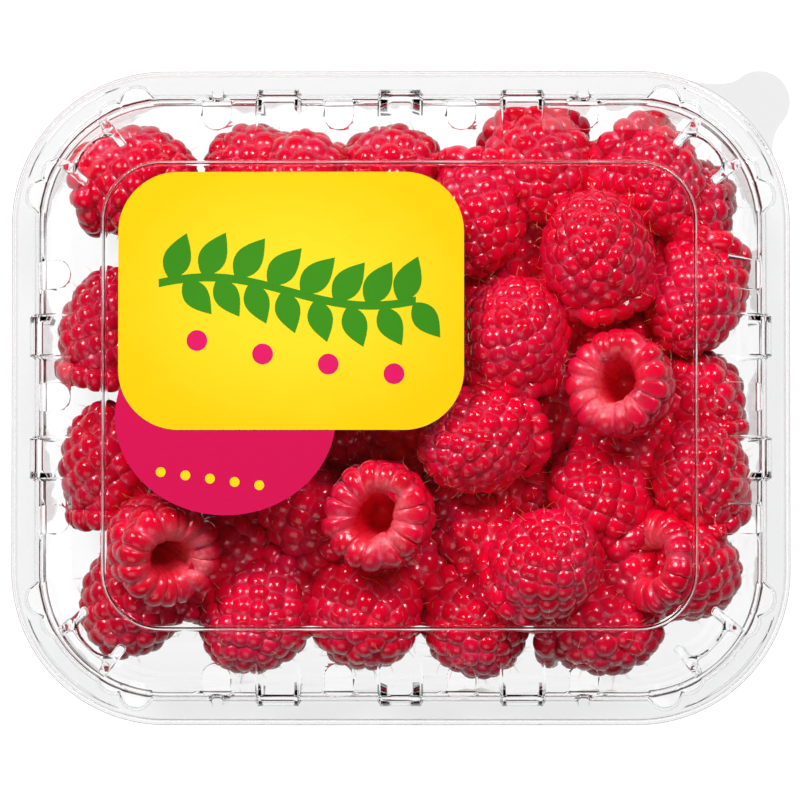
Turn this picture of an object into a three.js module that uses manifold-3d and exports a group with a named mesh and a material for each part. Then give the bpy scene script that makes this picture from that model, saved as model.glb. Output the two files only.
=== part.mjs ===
// A clear punnet of raspberries: a formed tray, a formed lid pressed onto it, a paper label and a heap
// of berries. Millimetres, +Z up. The origin is under the middle of the base that it stands on.

import * as THREE from 'three';
import { mergeVertices } from 'three/addons/utils/BufferGeometryUtils.js';
import Module from 'manifold-3d';

const wasm = await Module();
wasm.setup();

// Size of the punnet. The rim is measured over the lid.
const RIM_LENGTH = 143;
const RIM_WIDTH = 120;
const RIM_RADIUS = 28;
const HEIGHT = 36;
const FLANGE_Z = 23; // underside of the lid's flange
const FLANGE_GAP = 0.3; // air between the two flanges
const SHEET = 0.5; // thickness of the formed sheet
const TRAY_OVERHANG = 0.4; // the tray's flange stands out past the lid's

// Every level of tray and lid is a rounded rectangle round these four corner centres. How far a level
// lies out from them is called its reach, and it is also the radius of its corners.
const CORNER_X = RIM_LENGTH / 2 - RIM_RADIUS;
const CORNER_Y = RIM_WIDTH / 2 - RIM_RADIUS;
const CORNER_STEPS = 6;
const DIAGONAL = Math.PI / 4;

// Lugs stand out of the upper walls, and vents lie between them
const PITCH = 22.5; // lug to lug along a side
const LONG_SIDE_LUGS = [-PITCH, 0, PITCH];
const SHORT_SIDE_LUGS = [-PITCH / 2, PITCH / 2];
const LONG_SIDE_VENTS = [-1.5 * PITCH, -PITCH / 2, PITCH / 2, 1.5 * PITCH];
const SHORT_SIDE_VENTS = [-PITCH, 0, PITCH];
const LUG = { width: 7.8, ramp: 0.5 };
const TRAY_LUG = { width: 9.0, ramp: 1.6 };
const VENT = { width: 5.2, from: 17.0, to: 22.9, longFrom: 14.2 };

// Lid, as reach, height and how far a lug stands out there
const PANEL_REACH = 10.6; // edge of the sunken top panel
const PANEL_DEPTH = 0.6;
const LID_WALL = [
  [23.9, FLANGE_Z + SHEET, 0.9],
  [23.4, FLANGE_Z + 2.6, 0.9],
  [22.3, FLANGE_Z + 3.0, 0.9],
  [16.8, 31.3, 0.3],
  [12.3, HEIGHT - 0.5, 0],
  [11.5, HEIGHT, 0],
  [PANEL_REACH, HEIGHT, 0],
  [PANEL_REACH - 0.3, HEIGHT - PANEL_DEPTH, 0],
];
const BEAD = { width: 1.0, height: 0.9, slope: 0.2 };

// Corner posts at the rim, and the brackets that hold a stacked punnet
const POSTS = [
  { reach: 24.3, turn: 0.52, radius: 2.5, sides: 8, hollow: true },
  { reach: 23.5, turn: 0.35, radius: 1.5, sides: 6, hollow: false },
];
const POST_HEIGHT = 3.2;
const POST_TAPER = 0.9; // the top's width as a share of the foot's
const ROOT_DEPTH = 1; // posts, brackets and hollows start this far under the flange
const BRACKET = { width: 1.9, sheet: 0.45, top: 33.5, arc: 19.2, bend: 18.4, tip: 16.0, arcTurn: 0.14 };
const BRACKET_TURNS = { bend: 0.2, tip: 0.31 };

// Tray, in the same terms
const TRAY_TOP = FLANGE_Z - FLANGE_GAP;
const TRAY_WALL = [
  [13.6, 0.8, 0],
  [14.4, 0, 0],
  [17.2, 0, 0],
  [19.3, 1.8, 0.3],
  [23.4, TRAY_TOP - SHEET, 0.7],
];

// The tab by which the lid is lifted off the tray, at the corner +X +Y
const TAB = { x: 66.2, y: 54.6, radius: 5.7, arcFrom: 2.1, arcTo: -0.65 };
const TAB_UPPER = { root: [52, 56.5], bend: [60.5, 56.6] };
const TAB_LOWER = { bend: [68.2, 48.6], edge: [68.4, 44.9], root: [65, 42] };

// Label, one sheet with a large field and a round one that comes out under its corner
const LABEL_THICKNESS = 0.25;
const LABEL_FIELD = { left: -51.4, right: 11.8, bottom: -6.3, top: 40.9, radius: 11 };
const LABEL_ROUND = { x: -31.8, y: -3.9, across: 20.2, down: 18 };

// Raspberries: the middle of each, its greatest width, its length from open end to tip, the way the tip
// points in plan and how far it rises, in degrees, and whether the open end shows its cup
const BERRIES = [
  { x: -49, y: 41.2, z: 12.5, width: 20.5, length: 24, yaw: 8, rise: 8 },
  { x: -27.6, y: 42.3, z: 11.5, width: 19.5, length: 21, yaw: 150, rise: 12 },
  { x: -17.6, y: 41.8, z: 18.5, width: 17.5, length: 18, yaw: 95, rise: -30 },
  { x: -1.4, y: 42.4, z: 12, width: 19.5, length: 21, yaw: 25, rise: 5 },
  { x: 25.7, y: 42.3, z: 15.5, width: 21.5, length: 22, yaw: -80, rise: 38 },
  { x: 35, y: 39, z: 11, width: 18.5, length: 20, yaw: 200, rise: 0 },
  { x: 47, y: 40, z: 15.5, width: 20, length: 22.5, yaw: -55, rise: 22 },
  { x: 54.2, y: 36.5, z: 11, width: 17.5, length: 19.5, yaw: 60, rise: -20 },
  { x: 14, y: 33, z: 17.5, width: 19.5, length: 24, yaw: -100, rise: 18 },
  { x: 36.1, y: 27.8, z: 23.5, width: 21.6, length: 24, yaw: 105, rise: 38 },
  { x: 29.5, y: 17.8, z: 11, width: 18.5, length: 20, yaw: 130, rise: 10 },
  { x: 54.3, y: 18.4, z: 16, width: 19.8, length: 24, yaw: -108, rise: 22 },
  { x: 20.9, y: 12.5, z: 23.2, width: 22, length: 21.5, yaw: 80, rise: 30 },
  { x: 41.5, y: 2.1, z: 24, width: 20, length: 20.5, yaw: -15, rise: -76, cup: true },
  { x: 55, y: 0.8, z: 12, width: 18, length: 20, yaw: 100, rise: 0 },
  { x: 27.5, y: -2, z: 11, width: 18.5, length: 20, yaw: 40, rise: 0 },
  { x: 13.4, y: -7.8, z: 23.5, width: 21.5, length: 23.5, yaw: 205, rise: 32 },
  { x: 45.2, y: -7, z: 11, width: 19, length: 21, yaw: 60, rise: 10 },
  { x: 55.2, y: -13.4, z: 17, width: 19.5, length: 22.5, yaw: 105, rise: 32 },
  { x: 36.2, y: -17.8, z: 15.5, width: 19.5, length: 22, yaw: 130, rise: 25 },
  { x: 14.7, y: -24.8, z: 11.3, width: 19.5, length: 21, yaw: 110, rise: 20 },
  { x: 27.6, y: -30.2, z: 23.5, width: 21.5, length: 22, yaw: 40, rise: 38 },
  { x: 53.4, y: -31.8, z: 15, width: 20, length: 22.5, yaw: -12, rise: -38, cup: true },
  { x: 41, y: -32.4, z: 11, width: 18.5, length: 20, yaw: 170, rise: 0 },
  { x: 38, y: -42, z: 12.5, width: 19.5, length: 24, yaw: -12, rise: 12 },
  { x: 14.2, y: -42.2, z: 12.8, width: 20.5, length: 21.5, yaw: -70, rise: 25 },
  { x: -3.2, y: -21.5, z: 24, width: 20.5, length: 20.5, yaw: 20, rise: -80, cup: true },
  { x: -6.5, y: -39.6, z: 14, width: 22.5, length: 24, yaw: -60, rise: 35 },
  { x: -18, y: -19.8, z: 15, width: 19.5, length: 21.5, yaw: 125, rise: 12 },
  { x: -27.3, y: -40.6, z: 13, width: 21.5, length: 24, yaw: 230, rise: 20 },
  { x: -31, y: -27.2, z: 11, width: 19, length: 21, yaw: 20, rise: 0 },
  { x: -45.6, y: -27, z: 22, width: 20.3, length: 20.5, yaw: 145, rise: -58, cup: true },
  { x: -50.4, y: -38.2, z: 11.8, width: 20, length: 22.5, yaw: 240, rise: 10 },
  { x: -54.4, y: -11.2, z: 12.5, width: 19.5, length: 24, yaw: 96, rise: 15 },
  { x: -54.2, y: 13.9, z: 12.5, width: 19.5, length: 23.5, yaw: 82, rise: 10 },
  { x: -1.5, y: -6, z: 14, width: 19.5, length: 21, yaw: 200, rise: 20 },
  { x: -1.5, y: 24.5, z: 14, width: 19, length: 21, yaw: 250, rise: 10 },
  { x: -20.5, y: 25, z: 15, width: 19.5, length: 21, yaw: 100, rise: 15 },
  { x: -38, y: 27, z: 14, width: 19, length: 21, yaw: 300, rise: 10 },
  { x: -37, y: 7, z: 15, width: 19, length: 21, yaw: 20, rise: 10 },
  { x: -18.5, y: 6.5, z: 20, width: 19.5, length: 21, yaw: 330, rise: 20 },
  { x: -36.5, y: -10, z: 18, width: 19, length: 21, yaw: 200, rise: 10 },
];
const BERRY_SIDES = 8;
const BERRY_STEPS = 4;
const SHOULDER = 0.36; // share of the length at which a berry is widest
const MOUTH = 0.8; // width at the open end, as a share of the greatest width
const TIP_ROUNDNESS = 2.3;
const CUP = { width: 0.36, depth: 0.55 }; // share of the berry's width and length
const CUP_SHAPE = { floor: 0.32, wall: 0.9, throat: 0.08, lip: 0.1 }; // shares of the cup and the berry
const CORE = { reach: 4, bottom: 2.4, top: 13 }; // plain lump that joins the heap inside
const HEAP_GAP = 0.3; // from the heap to tray and lid

// Solids from meshes, and back

function solidFrom(geometry) {
  const bare = geometry.index ? geometry.clone() : geometry;
  bare.deleteAttribute('normal');
  bare.deleteAttribute('uv');
  const merged = mergeVertices(bare, 1e-5);
  return new wasm.Manifold(new wasm.Mesh({
    numProp: 3,
    vertProperties: new Float32Array(merged.attributes.position.array),
    triVerts: new Uint32Array(merged.index.array),
  }));
}

function geometryFrom(solid) {
  const mesh = solid.getMesh();
  const geometry = new THREE.BufferGeometry();
  geometry.setAttribute('position', new THREE.BufferAttribute(mesh.vertProperties.slice(), 3));
  geometry.setIndex(new THREE.BufferAttribute(mesh.triVerts.slice(), 1));
  geometry.computeVertexNormals();
  return geometry;
}

// Outlines of tray and lid

// A station is a point on the rectangle of corner centres, with the outward direction and 1 where a
// lug is, 0 elsewhere. They run anticlockwise from the lower end of the +X side.
function stations(lug) {
  const sides = [
    { half: CORNER_Y, lugs: SHORT_SIDE_LUGS },
    { half: CORNER_X, lugs: LONG_SIDE_LUGS },
    { half: CORNER_Y, lugs: SHORT_SIDE_LUGS },
    { half: CORNER_X, lugs: LONG_SIDE_LUGS },
  ];
  const list = [];
  sides.forEach(({ half, lugs }, side) => {
    const turn = side * Math.PI / 2;
    const out = new THREE.Vector2(Math.cos(turn), Math.sin(turn));
    const along = new THREE.Vector2(-out.y, out.x);
    const depth = side % 2 === 0 ? CORNER_X : CORNER_Y;
    const place = (shift) => out.clone().multiplyScalar(depth).addScaledVector(along, shift);
    for (const centre of lugs) {
      const edge = lug.width / 2;
      list.push({ foot: place(centre - edge - lug.ramp), out, lug: 0 });
      list.push({ foot: place(centre - edge), out, lug: 1 });
      list.push({ foot: place(centre + edge), out, lug: 1 });
      list.push({ foot: place(centre + edge + lug.ramp), out, lug: 0 });
    }
    for (let i = 0; i <= CORNER_STEPS; i++) {
      const angle = turn + (i / CORNER_STEPS) * Math.PI / 2;
      list.push({ foot: place(half), out: new THREE.Vector2(Math.cos(angle), Math.sin(angle)), lug: 0 });
    }
  });
  return list;
}

// A closed solid through levels of reach, height and lug, from the bottom up
function loft(levels, lug) {
  const around = stations(lug);
  const count = around.length;
  const positions = [];
  const index = [];
  for (const [reach, z, proud] of levels) {
    for (const station of around) {
      const distance = reach + station.lug * proud;
      positions.push(station.foot.x + station.out.x * distance, station.foot.y + station.out.y * distance, z);
    }
  }
  const bottom = positions.length / 3;
  positions.push(0, 0, levels[0][1]);
  positions.push(0, 0, levels[levels.length - 1][1]);
  const top = bottom + 1;
  const last = (levels.length - 1) * count;
  for (let i = 0; i < count; i++) {
    const next = (i + 1) % count;
    index.push(bottom, next, i);
    index.push(top, last + i, last + next);
    for (let level = 0; level < levels.length - 1; level++) {
      const low = level * count;
      const high = low + count;
      index.push(low + i, low + next, high + next);
      index.push(low + i, high + next, high + i);
    }
  }
  const geometry = new THREE.BufferGeometry();
  geometry.setAttribute('position', new THREE.Float32BufferAttribute(positions, 3));
  geometry.setIndex(index);
  return solidFrom(geometry);
}

// The same levels moved in by the thickness of a sheet, square to the profile. A level panel runs on
// to the middle from the end at panelEnd, and the inside lies to the left of the way the profile runs.
function moveIn(levels, thickness, panelEnd) {
  const normal = (a, b) => new THREE.Vector2(a[1] - b[1], b[0] - a[0]).normalize();
  const path = [...levels];
  if (panelEnd === 'first') path.unshift([0, levels[0][1], 0]);
  if (panelEnd === 'last') path.push([0, levels[levels.length - 1][1], 0]);
  const moved = path.map((level, i) => {
    const normals = [];
    if (i > 0) normals.push(normal(path[i - 1], level));
    if (i < path.length - 1) normals.push(normal(level, path[i + 1]));
    const mean = normals.reduce((sum, each) => sum.add(each), new THREE.Vector2()).normalize();
    const scale = thickness / mean.dot(normals[0]);
    return [level[0] + mean.x * scale, level[1] + mean.y * scale, level[2]];
  });
  return panelEnd === 'first' ? moved.slice(1) : moved.slice(0, -1);
}

// A flat outline raised into a prism
function prism(shape, bottom, top, curveSegments = 6) {
  const geometry = new THREE.ExtrudeGeometry(shape, {
    depth: top - bottom,
    bevelEnabled: false,
    curveSegments,
  });
  return solidFrom(geometry.translate(0, 0, bottom));
}

function roundedShape(left, bottom, right, top, radius) {
  const shape = new THREE.Shape();
  shape.moveTo(left + radius, bottom);
  shape.lineTo(right - radius, bottom);
  shape.absarc(right - radius, bottom + radius, radius, -Math.PI / 2, 0);
  shape.lineTo(right, top - radius);
  shape.absarc(right - radius, top - radius, radius, 0, Math.PI / 2);
  shape.lineTo(left + radius, top);
  shape.absarc(left + radius, top - radius, radius, Math.PI / 2, Math.PI);
  shape.lineTo(left, bottom + radius);
  shape.absarc(left + radius, bottom + radius, radius, Math.PI, 1.5 * Math.PI);
  return shape;
}

// A line of points thickened to a flat band
function ribbonShape(points, width) {
  const edge = (side) => points.map((point, i) => {
    const before = points[Math.max(i - 1, 0)];
    const after = points[Math.min(i + 1, points.length - 1)];
    const along = after.clone().sub(before).normalize();
    return new THREE.Vector2(point.x - along.y * side * width / 2, point.y + along.x * side * width / 2);
  });
  return new THREE.Shape([...edge(-1), ...edge(1).reverse()]);
}

// The four corners, as the sign of X and of Y
const CORNERS = [[1, 1], [-1, 1], [-1, -1], [1, -1]];

// A point at a reach from a corner's centre, turned from that corner's diagonal
function cornerPoint([signX, signY], reach, turn) {
  const angle = DIAGONAL + turn;
  return new THREE.Vector2(
    signX * (CORNER_X + reach * Math.cos(angle)),
    signY * (CORNER_Y + reach * Math.sin(angle)),
  );
}

// Lid

function bracketLine(corner) {
  const line = [
    cornerPoint(corner, BRACKET.tip, -BRACKET_TURNS.tip),
    cornerPoint(corner, BRACKET.bend, -BRACKET_TURNS.bend),
  ];
  const arcSteps = 4;
  for (let i = 0; i <= arcSteps; i++) {
    line.push(cornerPoint(corner, BRACKET.arc, BRACKET.arcTurn * (2 * i / arcSteps - 1)));
  }
  line.push(cornerPoint(corner, BRACKET.bend, BRACKET_TURNS.bend));
  line.push(cornerPoint(corner, BRACKET.tip, BRACKET_TURNS.tip));
  return corner[0] * corner[1] > 0 ? line : line.reverse();
}

function post(corner, { reach, turn, radius, sides }, sheet) {
  const bottom = FLANGE_Z - ROOT_DEPTH;
  const height = POST_HEIGHT + ROOT_DEPTH - sheet;
  const cylinder = new THREE.CylinderGeometry(radius * POST_TAPER - sheet, radius - sheet, height, sides);
  const centre = cornerPoint(corner, reach, turn);
  cylinder.rotateX(Math.PI / 2);
  cylinder.translate(centre.x, centre.y, bottom + height / 2);
  return solidFrom(cylinder);
}

// Posts and brackets of all corners. With a sheet, they are the hollows inside them.
function cornerPieces(sheet) {
  const pieces = [];
  for (const corner of CORNERS) {
    const width = BRACKET.width - 2 * Math.min(sheet, BRACKET.sheet);
    const ribbon = ribbonShape(bracketLine(corner), width);
    pieces.push(prism(ribbon, FLANGE_Z - ROOT_DEPTH, BRACKET.top - sheet));
    for (const kind of POSTS) {
      if (sheet > 0 && !kind.hollow) continue;
      pieces.push(post(corner, kind, sheet));
      pieces.push(post(corner, { ...kind, turn: -kind.turn }, sheet));
    }
  }
  return pieces.reduce((whole, piece) => whole.add(piece));
}

function vent(side, shift) {
  const from = side === 0 ? VENT.longFrom : VENT.from;
  const depth = side % 2 === 0 ? CORNER_X : CORNER_Y;
  const half = VENT.width / 2;
  const shape = roundedShape(depth + from, shift - half, depth + VENT.to, shift + half, half * 0.999);
  const cutter = new THREE.ExtrudeGeometry(shape, { depth: HEIGHT, bevelEnabled: false, curveSegments: 2 });
  cutter.translate(0, 0, FLANGE_Z + BEAD.height);
  cutter.rotateZ(side * Math.PI / 2);
  return solidFrom(cutter);
}

function makeLid() {
  const flange = [
    [RIM_RADIUS, FLANGE_Z, 0],
    [RIM_RADIUS, FLANGE_Z + BEAD.height, 0],
    [RIM_RADIUS - BEAD.width, FLANGE_Z + BEAD.height, 0],
    [RIM_RADIUS - BEAD.width - BEAD.slope, FLANGE_Z + SHEET, 0],
  ];
  const inner = moveIn(LID_WALL, SHEET, 'last');
  const foot = inner[0];
  inner.unshift([foot[0], FLANGE_Z - ROOT_DEPTH, foot[2]]);
  const corners = cornerPieces(0).subtract(below(FLANGE_Z));
  let lid = loft([...flange, ...LID_WALL], LUG).add(corners);
  lid = lid.subtract(loft(inner, LUG)).subtract(cornerPieces(SHEET));
  for (let side = 0; side < 4; side++) {
    for (const shift of side % 2 === 0 ? SHORT_SIDE_VENTS : LONG_SIDE_VENTS) {
      lid = lid.subtract(vent(side, shift));
    }
  }
  return lid;
}

// Everything under a height
function below(z) {
  const size = RIM_LENGTH * 2;
  return solidFrom(new THREE.BoxGeometry(size, size, size).translate(0, 0, z - size / 2));
}

// Tray

function tabShape() {
  const { x, y, radius, arcFrom, arcTo } = TAB;
  const shape = new THREE.Shape();
  shape.moveTo(...TAB_UPPER.root);
  shape.quadraticCurveTo(...TAB_UPPER.bend, x + radius * Math.cos(arcFrom), y + radius * Math.sin(arcFrom));
  shape.absarc(x, y, radius, arcFrom, arcTo, true);
  shape.quadraticCurveTo(...TAB_LOWER.bend, ...TAB_LOWER.edge);
  shape.lineTo(...TAB_LOWER.root);
  return shape;
}

function makeTray() {
  const reach = RIM_RADIUS + TRAY_OVERHANG;
  const flange = [
    [reach, TRAY_TOP - SHEET, 0],
    [reach, TRAY_TOP, 0],
  ];
  const inner = moveIn(TRAY_WALL, SHEET, 'first');
  const lip = inner[inner.length - 1];
  inner.push([lip[0], TRAY_TOP + SHEET, lip[2]]);
  const outer = loft([...TRAY_WALL, ...flange], TRAY_LUG);
  const tab = prism(tabShape(), TRAY_TOP - SHEET, TRAY_TOP, 10);
  return outer.add(tab).subtract(loft(inner, TRAY_LUG));
}

// Label

function makeLabel() {
  const bottom = HEIGHT - PANEL_DEPTH;
  const { left, right, top } = LABEL_FIELD;
  const field = prism(
    roundedShape(left, LABEL_FIELD.bottom, right, top, LABEL_FIELD.radius),
    bottom,
    bottom + LABEL_THICKNESS,
  );
  const oval = new THREE.Shape();
  oval.absellipse(LABEL_ROUND.x, LABEL_ROUND.y, LABEL_ROUND.across, LABEL_ROUND.down, 0, 2 * Math.PI);
  return field.add(prism(oval, bottom, bottom + LABEL_THICKNESS, 24));
}

// Raspberries

// Half the width of a berry at a share of its length, from open end to tip
function berryRadius(share, width) {
  if (share < SHOULDER) {
    return width / 2 * (MOUTH + (1 - MOUTH) * Math.sin(Math.PI / 2 * share / SHOULDER));
  }
  return width / 2 * Math.sqrt(Math.max(0, 1 - ((share - SHOULDER) / (1 - SHOULDER)) ** TIP_ROUNDNESS));
}

function berrySolid({ x, y, z, width, length, yaw, rise, cup }) {
  const profile = [new THREE.Vector2(0, cup ? length * CUP.depth : 0)];
  if (cup) {
    const { floor, wall, throat, lip } = CUP_SHAPE;
    profile.push(new THREE.Vector2(width * CUP.width * floor, length * CUP.depth * wall));
    profile.push(new THREE.Vector2(width * CUP.width / 2, length * throat));
    profile.push(new THREE.Vector2(width * (CUP.width / 2 + lip), 0));
  }
  for (let i = 0; i < BERRY_STEPS; i++) {
    const share = Math.sin(Math.PI / 2 * i / BERRY_STEPS);
    profile.push(new THREE.Vector2(berryRadius(share, width), share * length));
  }
  profile.push(new THREE.Vector2(0, length));
  const geometry = new THREE.LatheGeometry(profile, BERRY_SIDES);
  geometry.translate(0, -length / 2, 0);
  geometry.rotateZ(-Math.PI / 2);
  geometry.rotateY(-THREE.MathUtils.degToRad(rise));
  geometry.rotateZ(THREE.MathUtils.degToRad(yaw));
  geometry.translate(x, y, z);
  return solidFrom(geometry);
}

// The space inside tray and lid, less the gap that the heap keeps to them
function innerSpace() {
  const inset = SHEET + HEAP_GAP;
  const lid = moveIn(LID_WALL, inset, 'last').map(([reach, z]) => [reach, z, 0]);
  const tray = moveIn(TRAY_WALL, inset, 'first').map(([reach, z]) => [reach, z, 0]);
  return loft([...tray, ...lid], LUG);
}

function makeBerries() {
  let heap = loft([[CORE.reach, CORE.bottom, 0], [CORE.reach, CORE.top, 0]], LUG);
  for (const berry of BERRIES) heap = heap.add(berrySolid(berry));
  heap = heap.intersect(innerSpace());
  const outer = heap.decompose().filter((piece) => piece.volume() > 0);
  return outer.reduce((best, piece) => (piece.volume() > best.volume() ? piece : best));
}

// Scene

function piece(name, solid, color, roughness, opacity = 1) {
  const material = new THREE.MeshStandardMaterial({ color, roughness, metalness: 0 });
  material.transparent = opacity < 1;
  material.opacity = opacity;
  const mesh = new THREE.Mesh(geometryFrom(solid), material);
  mesh.name = name;
  return mesh;
}

const punnet = new THREE.Group();
punnet.add(piece('tray', makeTray(), 0xe9edee, 0.1, 0.3));
punnet.add(piece('lid', makeLid(), 0xeef1f2, 0.08, 0.3));
punnet.add(piece('label', makeLabel(), 0xffdc12, 0.6));
punnet.add(piece('raspberries', makeBerries(), 0xc8102e, 0.4));

export default punnet;
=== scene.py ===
# %% [markdown]
# # A punnet of raspberries
# A clear formed tray holds a heap of berries, a clear formed lid is pressed onto it, and a paper label is
# stuck on the lid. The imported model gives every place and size. Here each piece gets the surface that the
# eye sees: beads of fruit, bends in the clear sheet, print on paper.

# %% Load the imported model
import math

import bmesh
import bpy
import numpy as np
from mathutils import Matrix, Vector


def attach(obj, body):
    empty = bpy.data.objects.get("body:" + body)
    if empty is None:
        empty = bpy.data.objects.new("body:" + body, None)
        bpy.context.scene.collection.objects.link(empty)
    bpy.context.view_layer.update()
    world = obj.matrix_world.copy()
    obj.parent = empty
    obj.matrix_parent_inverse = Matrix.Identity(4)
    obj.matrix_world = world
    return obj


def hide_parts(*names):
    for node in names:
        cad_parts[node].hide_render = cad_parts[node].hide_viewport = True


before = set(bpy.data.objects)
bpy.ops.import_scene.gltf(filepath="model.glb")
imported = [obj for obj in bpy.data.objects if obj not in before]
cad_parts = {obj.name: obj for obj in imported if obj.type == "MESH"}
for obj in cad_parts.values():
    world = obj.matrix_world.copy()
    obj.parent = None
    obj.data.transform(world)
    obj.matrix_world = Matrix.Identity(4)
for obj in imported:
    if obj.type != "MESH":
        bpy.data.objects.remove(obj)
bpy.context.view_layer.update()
MM = 0.001
SCENE = bpy.context.scene

# %% [markdown]
# ## Sizes
# Tray and lid are the same rounded rectangle at every height, only nearer to the four corner centres or
# farther from them. That distance is called the reach. So a whole wall is described by a short profile of
# reach and height, and the lugs, posts and notches are added to the reach where they stand.

# %% Sizes of the punnet, in millimetres
RIM_LENGTH, RIM_WIDTH, RIM_RADIUS = 143.0, 120.0, 28.0
TOP_Z = 36.0
FLANGE_Z = 23.0
CORNER_X = RIM_LENGTH / 2 - RIM_RADIUS
CORNER_Y = RIM_WIDTH / 2 - RIM_RADIUS
SHEET = 0.3
PITCH = 22.5
LONG_SIDE_LUGS = (-PITCH, 0.0, PITCH)
SHORT_SIDE_LUGS = (-PITCH / 2, PITCH / 2)
LONG_SIDE_VENTS = (-1.5 * PITCH, -PITCH / 2, PITCH / 2, 1.5 * PITCH)
SHORT_SIDE_VENTS = (-PITCH, 0.0, PITCH)
LUG_WIDTH = 7.8
PANEL_REACH, PANEL_Z = 10.6, TOP_Z - 0.6


# %% [markdown]
# ## Shader arithmetic
# A node tree reads best as a formula. A Wire wraps one output socket, so that a sum or a product of wires
# adds the Math nodes that work it out. A Paint holds one material and adds any other node by its type.

# %% Wires and paints
def plug(tree, socket, value):
    """Links a wire into a socket, or sets a plain value on it."""
    if isinstance(value, Wire):
        tree.links.new(value.socket, socket)
    else:
        socket.default_value = value


class Wire:
    """One output socket that can be used in a formula."""

    def __init__(self, tree, socket):
        self.tree = tree
        self.socket = socket

    def _math(self, operation, first, second):
        node = self.tree.nodes.new("ShaderNodeMath")
        node.operation = operation
        plug(self.tree, node.inputs[0], first)
        plug(self.tree, node.inputs[1], second)
        return Wire(self.tree, node.outputs[0])

    def __add__(self, other):
        return self._math("ADD", self, other)

    __radd__ = __add__

    def __sub__(self, other):
        return self._math("SUBTRACT", self, other)

    def __rsub__(self, other):
        return self._math("SUBTRACT", other, self)

    def __mul__(self, other):
        return self._math("MULTIPLY", self, other)

    __rmul__ = __mul__

    def __truediv__(self, other):
        return self._math("DIVIDE", self, other)

    def __pow__(self, other):
        return self._math("POWER", self, other)

    def clamped(self):
        return self._math("MINIMUM", self._math("MAXIMUM", self, 0.0), 1.0)


class Paint:
    """A material that is made node by node."""

    def __init__(self, name):
        self.material = bpy.data.materials.new(name)
        self.material.use_nodes = True
        self.tree = self.material.node_tree
        self.tree.nodes.clear()
        self.output = self.tree.nodes.new("ShaderNodeOutputMaterial")

    def node(self, kind, settings=None, inputs=None):
        made = self.tree.nodes.new("ShaderNode" + kind)
        for name, value in (settings or {}).items():
            setattr(made, name, value)
        for key, value in (inputs or {}).items():
            plug(self.tree, made.inputs[key], value)
        return made

    def wire(self, made, output=0):
        return Wire(self.tree, made.outputs[output])

    def position(self):
        return self.wire(self.node("TexCoord"), "Object")

    def height(self):
        """How high a point lies over the table, in millimetres."""
        split = self.node("SeparateXYZ", inputs={"Vector": self.position()})
        return self.wire(split, "Z") / MM

    def noise(self, size_mm, detail=2.0, distortion=0.0):
        """Noise whose blobs are about size_mm across."""
        inputs = {"Vector": self.position(), "Scale": 1 / (size_mm * MM), "Detail": detail,
                  "Distortion": distortion}
        return self.wire(self.node("TexNoise", inputs=inputs), "Fac")

    def attribute(self, name):
        return self.wire(self.node("Attribute", {"attribute_name": name}), "Fac")

    def blend(self, factor, first, second):
        """A colour between two, where each is a colour or a wire."""
        return self.wire(self.node("Mix", {"data_type": "RGBA"}, {0: factor, 6: first, 7: second}), 2)

    def bump(self, height, strength, distance_mm):
        inputs = {"Height": height, "Strength": strength, "Distance": distance_mm * MM}
        return self.wire(self.node("Bump", inputs=inputs))

    def surface(self, shader):
        self.tree.links.new(shader.outputs[0], self.output.inputs["Surface"])
        return self.material

    def principled(self, inputs):
        """The finished material, with one Principled shader that has these inputs."""
        return self.surface(self.node("BsdfPrincipled", inputs=inputs))


def colour(red, green, blue):
    """A screen colour from 0 to 255 as the linear colour that shaders take."""
    linear = [((c / 255 + 0.055) / 1.055) ** 2.4 if c > 10 else c / 255 / 12.92 for c in (red, green, blue)]
    return (*linear, 1.0)


# %% [markdown]
# ## Clear sheet
# The sheet is thin clear plastic. Real glass shading bends and mirrors what lies behind it, which draws
# the fine lines along every bend. Where the sheet is seen edge-on its tint turns grey: partly for the
# longer way through it, partly as painted shade that darkens the lines along the bends. The flat rim lies
# double, lid on tray, and is a little greyer than the rest.
# Lamps have to reach the fruit through it, so for shadow rays and for light that the fruit scatters, the
# material is a slightly grey transparent one instead.

# %% Clear sheet
CLEAR_TINT = (0.998, 0.999, 1.0, 1.0)
RIM_TINT = (0.935, 0.937, 0.938, 1.0)
TAB_TINT = (0.77, 0.77, 0.775, 1.0)
# Painted shade: the grey that the sheet's tint turns where it is seen edge-on.
EDGE_SHADE_TINT = (0.5, 0.51, 0.515, 1.0)
LIGHT_TINT = (0.975, 0.978, 0.978, 1.0)
RIPPLE_SIZE, RIPPLE_DEPTH = 8, 0.4
RIM_BAND = 1.9
EDGE_POWER, RIM_EDGE_POWER, RIM_EDGE_SHARE = 8.0, 1.5, 0.8


def clear_sheet(name, roughness, wave_strength, ior=1.33, rim_tint=RIM_TINT):
    paint = Paint(name)
    ripple = paint.noise(RIPPLE_SIZE, 1.0)
    over_rim = paint.height() - FLANGE_Z
    rim_share = (RIM_BAND - over_rim * over_rim).clamped()
    flat_tint = paint.blend(rim_share, CLEAR_TINT, rim_tint)
    facing = paint.wire(paint.node("LayerWeight", inputs={"Blend": 0.5}), "Facing")
    # Painted edge shade: grey where the sheet is seen edge-on, partly the longer way through it.
    painted_edge_shade = facing ** EDGE_POWER + facing ** RIM_EDGE_POWER * rim_share * RIM_EDGE_SHARE
    tint = paint.blend(painted_edge_shade.clamped(), flat_tint, EDGE_SHADE_TINT)
    glass = paint.node("BsdfPrincipled", inputs={
        "Base Color": tint,
        "Roughness": roughness,
        "IOR": ior,
        "Transmission Weight": 1.0,
        "Normal": paint.bump(ripple, wave_strength, RIPPLE_DEPTH),
    })
    open_to_light = paint.node("BsdfTransparent", inputs={"Color": LIGHT_TINT})
    path = paint.node("LightPath")
    scattered = (paint.wire(path, "Is Shadow Ray") + paint.wire(path, "Is Diffuse Ray")).clamped()
    shaders = {0: scattered, 1: paint.wire(glass), 2: paint.wire(open_to_light)}
    return paint.surface(paint.node("MixShader", inputs=shaders))


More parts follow.
